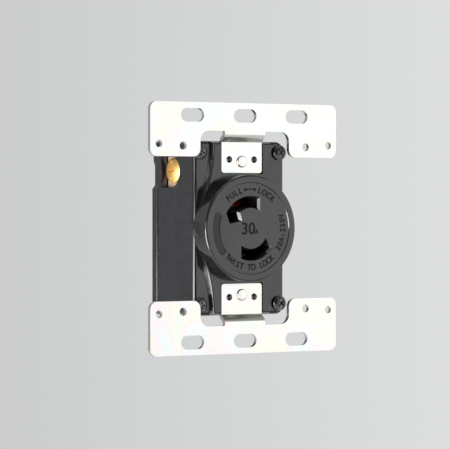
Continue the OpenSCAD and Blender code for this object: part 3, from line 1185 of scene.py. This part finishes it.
@dataclass
class RearCover:
    """The moulded back with its flange, terminal notches, nut pockets and sunk panel."""

    half_width: float = 20.5
    half_height: float = 32.9
    corner: float = 3.5
    seam: float = 28.0
    back: float = 31.7
    case_screw: Point = (17.5, 28.3)
    nut_floor: float = 29.4
    nut: float = 2.75
    panel: Corner = (13.0, 24.0, 1.5)
    panel_sink: float = 0.6
    post_place: Point = (7.2, 11.6)
    post: float = 1.8
    post_front: float = 13.95

    def notch(self) -> Mesh:
        """Cut beside the left terminal: a shallow bay with one steep and one sloping end.

        Returns:
            The solid to cut away.
        """
        x = -self.half_width
        outline = rounded([(x - 2, 14.4, 0), (x, 14.4, 0.3), (-19.1, 16.2, 0.5), (-19.1, 23.4, 0.8),
                           (-19.7, 25.2, 0.6), (-19.7, 28.0, 0.3), (x, 28.8, 0.3), (x - 2, 28.8, 0)])
        return prism(outline, self.seam - 1, self.back + 1)

    def build(self, finishes: Finishes) -> None:
        """Makes the rear cover.

        Args:
            finishes: The object's materials.
        """
        w, h, r = self.half_width, self.half_height, self.corner
        outline = rounded([(w, h, r), (w, -h, r), (-w, -h, r), (-w, h, r)])
        steps = [(self.seam, -0.45), (self.seam + 0.06, -0.25), (self.seam + 0.18, -0.1), (self.seam + 0.4, 0.0),
                 (self.back - 0.55, 0.0), (self.back - 0.2, -0.1), (self.back - 0.06, -0.28), (self.back, -0.55)]
        bm = lofted([(y, grown(outline, by)) for y, by in steps])
        for turn in (0.0, math.pi):
            bm = combined(bm, spun(self.notch(), turn), Join.CUT)
        x, z = self.case_screw
        pockets = [moved(bar(self.nut, self.nut_floor, self.back + 8, 6), sx * x, 0, sz * z)
                   for sx in (-1, 1) for sz in (-1, 1)]
        w, h, r = self.panel
        panel = prism(rounded([(w, h, r), (w, -h, r), (-w, -h, r), (-w, h, r)]), self.back - self.panel_sink,
                      self.back + 1)
        bm = combined(bm, gathered([*pockets, panel]), Join.CUT)
        soften(bm, 0.15, 2, at_depth(self.back))
        x, z = self.post_place
        for s in (-1, 1):
            post = moved(bar(self.post, self.post_front, self.seam + 0.5, 24), -s * x, 0, s * z)
            bm = combined(bm, post, Join.ADD)
        piece("rear_cover_moulding", bm, finishes.moulding, replaces=["rear_cover"])


@dataclass
class CaseScrews:
    """Four black pan head screws with cross recesses."""

    place: Point = (17.5, 28.3)
    seat: float = 2.4
    head: float = 2.8
    rise: float = 1.8
    side: float = 0.95
    shank: float = 1.25
    end: float = 31.3
    recess: Point = (1.4, 0.3)
    first_turn: float = 20.0
    turn_step: float = 37.0

    def screw(self) -> Mesh:
        """One screw on the Y axis.

        Returns:
            The screw.
        """
        top, shoulder = self.seat - self.rise, self.seat - self.side
        crown = crown_of(self.head, self.rise - self.side, top, 10)
        side = [(self.head - 0.08, shoulder - 0.05), (self.head, shoulder + 0.1), (self.head, self.seat - 0.1),
                (self.head - 0.1, self.seat)]
        shank = [(self.shank, self.seat), (self.shank, self.end - 0.4), (self.shank - 0.4, self.end), (0, self.end)]
        bm = turned([*crown, *side, *shank], 48)
        far, near = self.recess
        cross = combined(box_of((-far, top - 1, -near), (far, top + 1, near)),
                         box_of((-near, top - 1, -far), (near, top + 1, far)), Join.ADD)
        return combined(bm, cross, Join.CUT)

    def build(self, finishes: Finishes) -> None:
        """Makes the four screws, each with its recess turned another way.

        Args:
            finishes: The object's materials.
        """
        x, z = self.place
        names = {(-1, 1): "upper_left", (1, 1): "upper_right", (-1, -1): "lower_left", (1, -1): "lower_right"}
        for i, ((sx, sz), name) in enumerate(names.items()):
            turn = math.radians(self.first_turn + self.turn_step * i)
            screw = moved(spun(self.screw(), turn), sx * x, 0, sz * z)
            piece(f"{name}_case_screw", screw, finishes.black_screw, replaces=["case_screws"])


# ---------------------------------------------------------------------------------------- terminals and contacts


@dataclass
class Terminal:
    """Screw, clamp washer and tapped plate of one terminal; built on the left and turned for the right."""

    side: Side
    y: float = 18.9
    z: float = 21.5
    plate_x: float = 17.2
    strip: float = 1.2
    plate_back: float = 25.0
    plate_low: float = 14.9
    plate_high: float = 26.6
    flange_y: float = 12.7
    tap: float = 2.5
    head: float = 4.8
    head_base: float = 18.4
    head_side: float = 0.5
    head_rise: float = 1.7
    washer: float = 4.7
    washer_thickness: float = 0.8
    seat_gap: float = 0.02
    pitch: float = 0.8
    thread: float = 2.45
    core: float = 2.03
    shank_length: float = 9.0
    slot: Point = (3.8, 0.5)
    cross: float = 2.2
    strip_end: Point = (3.4, 7.7)

    @property
    def word(self) -> str:
        """Left or right."""
        return self.side.name.lower()

    def placed(self, bm: Mesh) -> Mesh:
        """Turns a shape made along Y, front towards the outside, onto the terminal's axis."""
        spun(bm, -math.pi / 2, "Z")
        return spun(moved(bm, y=self.y, z=self.z), self.side.value)

    def screw(self) -> Mesh:
        """Binding head screw: domed head with a slot and a shorter cross slot, and a threaded shank.

        Returns:
            The screw in its place.
        """
        base = -self.head_base
        top, shoulder, end = base - self.head_rise, base - self.head_side, base + self.shank_length
        crown = crown_of(self.head, self.head_rise - self.head_side, top, 12)
        side = [(self.head - 0.1, shoulder - 0.04), (self.head, shoulder + 0.08), (self.head, base - 0.1),
                (self.head - 0.1, base)]
        shank = [(self.core, base)]
        for i in range(int(self.shank_length / self.pitch) - 1):
            start = base + 0.3 + i * self.pitch
            shank += [(self.core, start), (self.thread, start + 0.32), (self.thread, start + 0.42)]
        tip = [(self.core - 0.03, end - 0.3), (self.core - 0.38, end), (0, end)]
        bm = turned([*crown, *side, *shank, *tip], 96)
        long, near = self.slot
        cuts = combined(box_of((-near, top - 1, -long), (near, top + 0.8, long)),
                        box_of((-self.cross, top - 1, -near), (self.cross, top + 1.0, near)), Join.ADD)
        return self.placed(combined(bm, cuts, Join.CUT))

    def clamp_washer(self) -> Mesh:
        """Flat washer with rounded edges.

        Returns:
            The washer in its place.
        """
        front, back = -self.head_base + self.seat_gap, -self.head_base + self.washer_thickness
        hole, rim, edge = self.tap, self.washer, 0.15
        bm = turned([(hole, front), (rim - edge, front), (rim, front + edge), (rim, back - edge), (rim - edge, back),
                     (hole, back), (hole, front)], 96)
        return self.placed(bm)

    def plate(self) -> Mesh:
        """Bent strip: a flange on the contact and a tapped plate, with a rounded bend between them.

        Returns:
            The plate in its place.
        """
        face, back, joint = -self.plate_x, -self.plate_x + self.strip, -self.plate_x + self.strip / 2
        end_x, end_z = self.strip_end
        outline = rounded([(end_x, end_z, 0.8), (end_x, 11.9, 0.8), (-5.5, 13.2, 3.0), (-9.8, 18.0, 3.0),
                           (-9.8, self.plate_high, 0.6), (joint, self.plate_high, 0), (joint, self.plate_low, 0),
                           (-15.9, self.plate_low, 0), (-13.0, self.plate_low - 1, 2.0), (-6.5, end_z, 2.0)])
        flange = prism(outline, self.flange_y, self.flange_y + self.strip)
        upright = prism(rounded([(face, self.flange_y, 1.1), (face, self.plate_back, 0.0),
                                 (back, self.plate_back, 0.0), (back, self.flange_y, 0.0)]),
                        0, self.plate_high - self.plate_low)
        moved(spun(upright, -math.pi / 2, "X"), z=self.plate_high)
        bm = combined(flange, upright, Join.ADD)
        hole = spun(bar(self.tap, -2, 2, 64), math.pi / 2, "Z")
        moved(hole, joint, self.y, self.z)
        bm = combined(bm, hole, Join.CUT)
        soften(bm, 0.12, 2)
        return spun(bm, self.side.value)

    def build(self, finishes: Finishes) -> None:
        """Makes the three pieces; screw and washer move, the plate stays.

        Args:
            finishes: The object's materials.
        """
        piece(f"{self.word}_binding_screw", self.screw(), finishes.brass, f"{self.word}_screw_body",
              [f"{self.word}_terminal_screw"])
        piece(f"{self.word}_washer_ring", self.clamp_washer(), finishes.brass, f"{self.word}_washer_body",
              [f"{self.word}_clamp_washer"])
        piece(f"{self.word}_terminal_strip", self.plate(), finishes.brass_strip,
              replaces=[f"{self.word}_terminal_plate"])


@dataclass
class Contact:
    """One copper jaw: two curved leaves joined by an end plate, on a flat web."""

    level: Level
    inner: float = 8.1
    outer: float = 11.5
    leaf: float = 0.8
    front: float = 6.0
    web: float = 11.5
    back: float = 12.7
    stop: float = 73.0
    leaf_from: float = 76.0
    leaf_to: float = 118.0

    def band(self, inner: float, outer: float, start: float, end: float) -> list[Point]:
        """Outline of part of a ring."""
        steps = max(2, round((end - start) / 3))
        return [*arc((0, 0), outer, start, end, steps), *arc((0, 0), inner, end, start, steps)]

    def build(self, finishes: Finishes) -> None:
        """Makes the jaw.

        Args:
            finishes: The object's materials.
        """
        outline = [*arc((0, 0), self.outer, self.stop, self.leaf_to, 16),
                   *arc((0, 0), self.outer - self.leaf, self.leaf_to, self.leaf_from, 14),
                   *arc((0, 0), self.inner + self.leaf, self.leaf_from, self.leaf_to, 14),
                   *arc((0, 0), self.inner, self.leaf_to, self.stop, 16)]
        jaw = prism(outline, self.front, self.web + 0.1)
        web = prism(self.band(self.inner, self.outer, self.stop, self.leaf_to), self.web, self.back)
        bm = combined(jaw, web, Join.ADD)
        soften(bm, 0.12, 2, at_depth(self.front))
        name = self.level.name.lower()
        piece(f"{name}_contact_jaw", spun(bm, self.level.value), finishes.copper,
              replaces=[f"{name}_contact"])


# ---------------------------------------------------------------------------------------- setting


@dataclass
class Setting:
    """Camera, floor and lights."""

    eye: tuple[float, float, float] = (-525.4, -811.3, 9.8)
    heading: float = 32.98
    pitch: float = 0.583
    lens: float = 207.78
    shift: Point = (-0.0451, 0.0086)
    floor_z: float = -0.4
    floor_reach: float = 2.0
    floor_colour: str = "#eeeeee"
    floor_glow: float = 0.3
    sky_colour: str = "#fdfeff"
    dim_left: float = 0.12
    back_left: float = 0.5
    bright_right: float = 0.98

    def camera(self) -> None:
        """Places the camera."""
        data = bpy.data.cameras.new("camera")
        data.sensor_width = 36
        data.lens = self.lens
        data.shift_x, data.shift_y = self.shift
        data.clip_start, data.clip_end = 0.01, 50
        camera = bpy.data.objects.new("camera", data)
        bpy.context.scene.collection.objects.link(camera)
        camera.location = Vector(self.eye) * MM
        camera.rotation_euler = (math.radians(90 - self.pitch), 0, -math.radians(self.heading))
        bpy.context.scene.camera = camera

    def floor(self) -> None:
        """Plain pale matt floor below the object, faintly lit from inside so that it stays pale from every side."""
        bm = bmesh.new()
        bmesh.ops.create_circle(bm, cap_ends=True, segments=96, radius=self.floor_reach)
        bmesh.ops.translate(bm, verts=bm.verts, vec=(0, 0, self.floor_z))
        mesh = bpy.data.meshes.new("pale_floor")
        bm.to_mesh(mesh)
        bm.free()
        material, _, shader, _ = start_material("pale_floor")
        shader.inputs["Base Color"].default_value = linear(self.floor_colour)
        shader.inputs["Roughness"].default_value = 0.95
        shader.inputs["Emission Color"].default_value = linear(self.floor_colour)
        shader.inputs["Emission Strength"].default_value = self.floor_glow
        mesh.materials.append(material)
        sheet = bpy.data.objects.new("pale_floor", mesh)
        bpy.context.scene.collection.objects.link(sheet)

    def world(self) -> None:
        """Grey surroundings that are bright to the right, middling behind and dim to the front left."""
        world = bpy.data.worlds.new("surroundings")
        bpy.context.scene.world = world
        world.use_nodes = True
        tree = world.node_tree
        tree.nodes.clear()
        way = add_node(tree, "ShaderNodeTexCoord").outputs["Generated"]
        parts = add_node(tree, "ShaderNodeSeparateXYZ", links={"Vector": way})
        left = add_node(tree, "ShaderNodeMapRange", {"interpolation_type": "SMOOTHSTEP", "From Min": -0.1,
                                                     "From Max": 0.75, "To Min": self.dim_left,
                                                     "To Max": self.back_left},
                        {"Value": parts.outputs["Y"]})
        level = add_node(tree, "ShaderNodeMapRange", {"interpolation_type": "SMOOTHSTEP", "From Min": 0.22,
                                                      "From Max": 1.0, "To Max": self.bright_right},
                         {"Value": parts.outputs["X"], "To Min": left.outputs["Result"]})
        sky = add_node(tree, "ShaderNodeBackground", {"Color": linear(self.sky_colour)},
                       {"Strength": level.outputs["Result"]})
        add_node(tree, "ShaderNodeOutputWorld", links={"Surface": sky.outputs["Background"]})

    def lamp(self, name: str, place: tuple[float, float, float], size: Point, radiance: float) -> None:
        """Soft box that looks at the object.

        Args:
            name: The lamp's name.
            place: Where it stands, in metres.
            size: Its width and height in metres.
            radiance: How bright its face looks.
        """
        data = bpy.data.lights.new(name, "AREA")
        data.shape = "RECTANGLE"
        data.size, data.size_y = size
        data.energy = radiance * math.pi * size[0] * size[1]
        lamp = bpy.data.objects.new(name, data)
        bpy.context.scene.collection.objects.link(lamp)
        lamp.location = place
        lamp.visible_camera = False
        lamp.rotation_euler = Vector(place).to_track_quat("Z", "Y").to_euler()

    def build(self) -> None:
        """Sets up everything that isn't part of the object."""
        bpy.context.scene.view_settings.view_transform = "Standard"
        self.camera()
        self.floor()
        self.world()
        self.lamp("right_front_softbox", (0.82, -1.26, 0.15), (1.3, 1.0), 1.6)
        self.lamp("overhead_softbox", (-0.1, -0.3, 0.85), (0.8, 0.8), 1.2)
        self.lamp("low_left_card", (-0.68, -0.16, -0.21), (0.55, 0.4), 18.0)
        self.lamp("low_back_left_card", (-0.66, 0.23, -0.21), (0.27, 0.4), 1.6)
        self.lamp("left_card", (-0.63, -0.28, 0.06), (0.3, 0.12), 8.0)


def dress_cad_nodes(nodes: Mapping[str, bpy.types.Object], finishes: Finishes) -> None:
    """Gives the inner CAD parts that stay their finishes.

    Args:
        nodes: The CAD nodes by name.
        finishes: The object's materials.
    """
    wanted = {"contact_block": finishes.moulding, "upper_contact_spring": finishes.spring,
              "lower_contact_spring": finishes.spring, "upper_contact_rivets": finishes.brass,
              "lower_contact_rivets": finishes.brass, "upper_rivet_washer": finishes.steel,
              "lower_rivet_washer": finishes.steel, "case_nuts": finishes.steel}
    for name, finish in wanted.items():
        mesh = nodes[name].data
        mesh.materials.clear()
        mesh.materials.append(finish)
        log.info("%s: keeps its CAD shape, finish %s", name, finish.name)


def main() -> None:
    """Builds the object and its setting in order."""
    logging.basicConfig(level=logging.INFO, format="%(message)s")
    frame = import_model()
    finishes = Finishes.make()
    Setting().build()
    dress_cad_nodes(frame["nodes"], finishes)
    for level in Level:
        Yoke(level).build(finishes)
        Contact(level).build(finishes)
    Body(BladeSlots()).build(finishes)
    Legend().build(finishes)
    RearCover().build(finishes)
    CaseScrews().build(finishes)
    for side in Side:
        Terminal(side).build(finishes)


if __name__ == "__main__":
    main()
